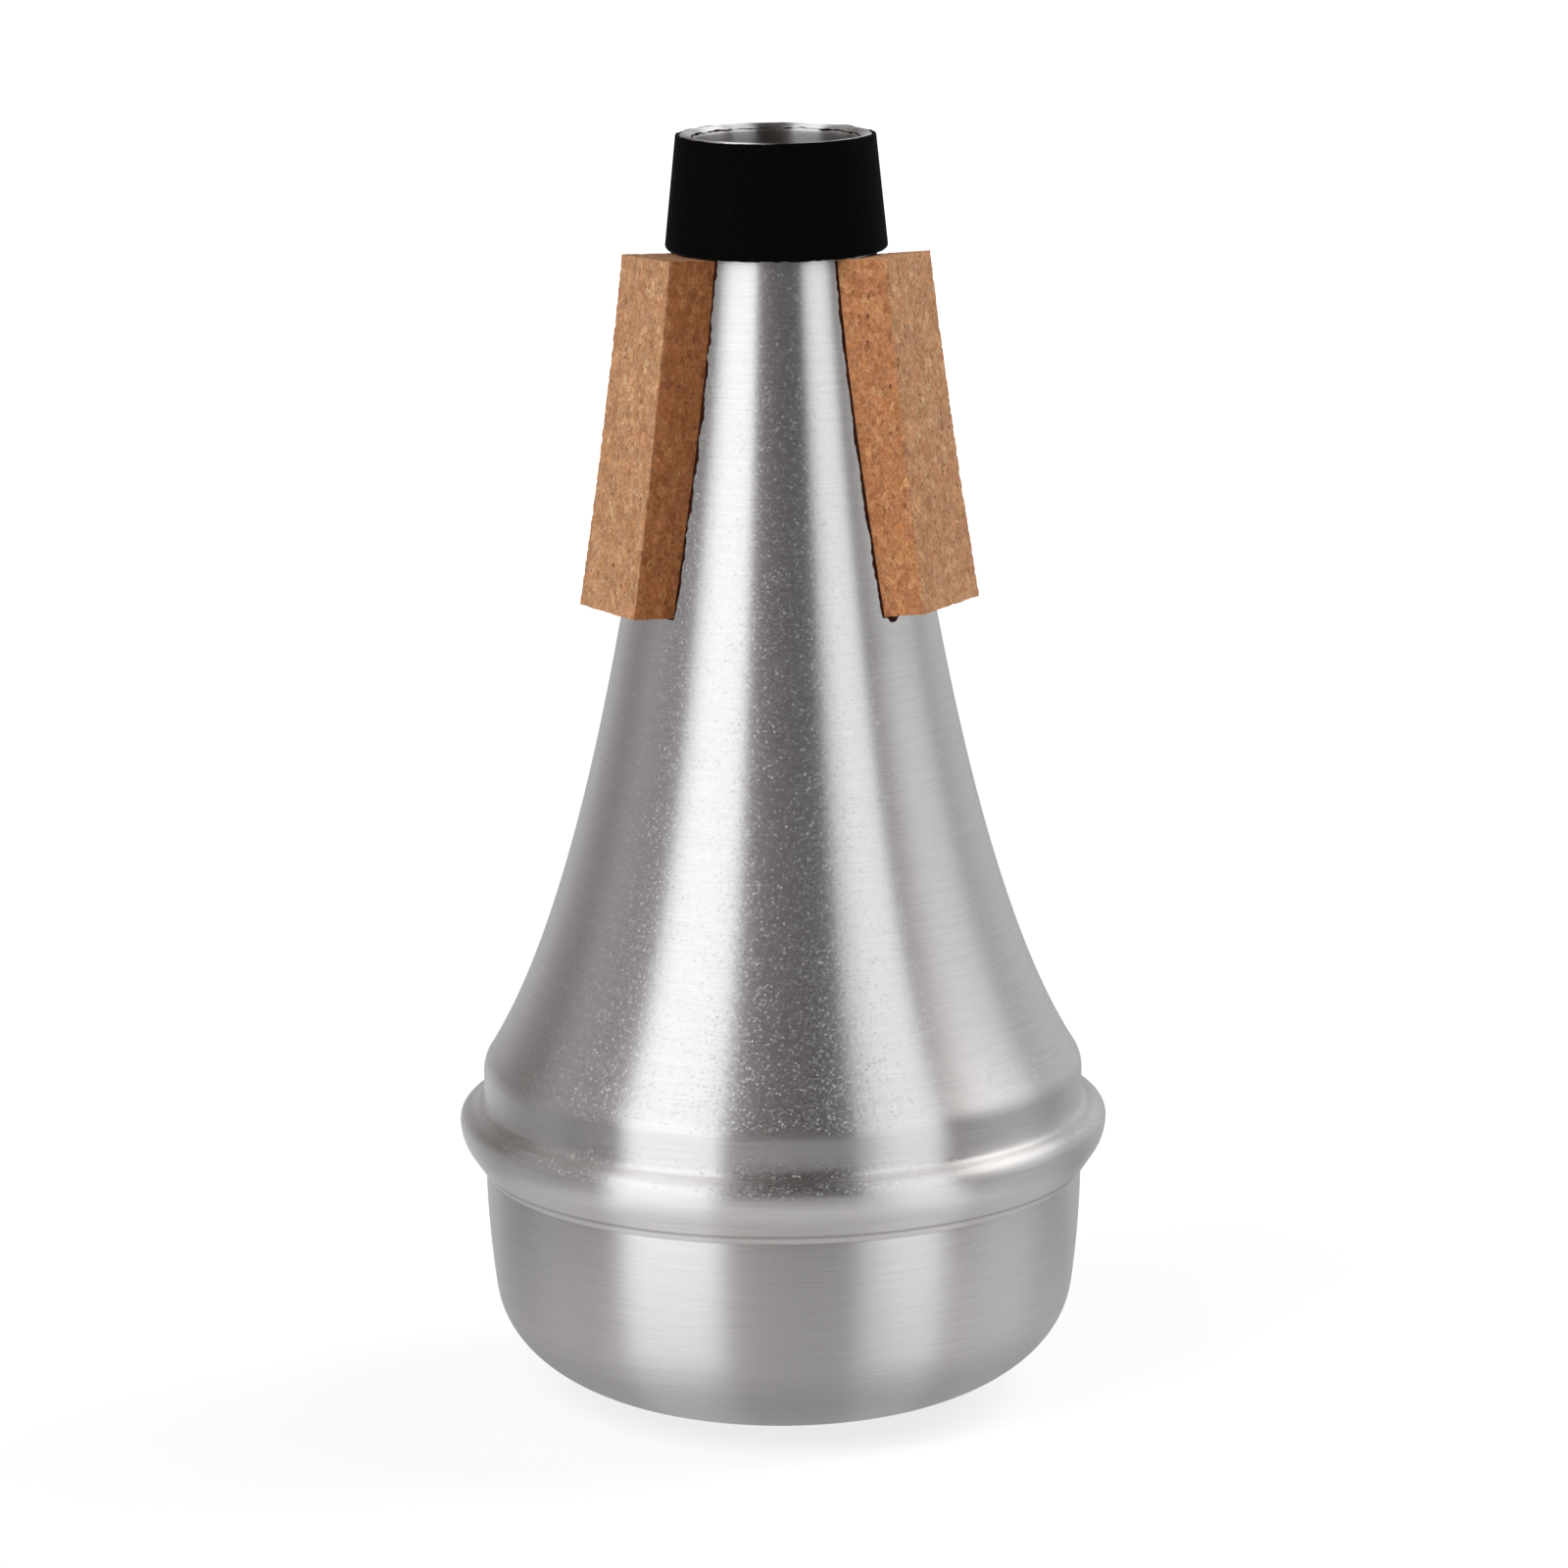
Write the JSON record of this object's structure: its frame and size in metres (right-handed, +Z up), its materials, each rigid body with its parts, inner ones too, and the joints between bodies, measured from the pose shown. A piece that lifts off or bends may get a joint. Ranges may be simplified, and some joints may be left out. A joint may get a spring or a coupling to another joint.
{
  "type": "trumpet straight mute",
  "caption": "Straight mute for a trumpet: a flared spun aluminium cone closed by a round cup, with a rubber sleeve at the open tip and cork strips that hold it in the bell.",
  "frame": {"origin": "middle of the flat spot under the cup, on the axis of the cone", "axes": "+Z up the axis from the closed cup to the open tip, -Y towards the viewer of the picture, +X to the viewer's right, one cork strip at the back at +Y"},
  "size_m": [0.0844, 0.0844, 0.165],
  "materials": {
    "spun_aluminium": "spun sheet, brushed round the axis, satin",
    "rubber": "moulded black rubber, matt",
    "cork": "agglomerated cork, sawn and sanded, matt",
    "glue": "dried contact cement, dark brown"
  },
  "bodies": {
    "root": {"cone_shell": "spun_aluminium", "end_cup": "spun_aluminium", "tip_guard": "rubber", "cork_left": "cork", "cork_right": "cork", "cork_rear": "cork", "cork_glue_left": "glue", "cork_glue_right": "glue", "cork_glue_rear": "glue"}
  },
  "joints": []
}
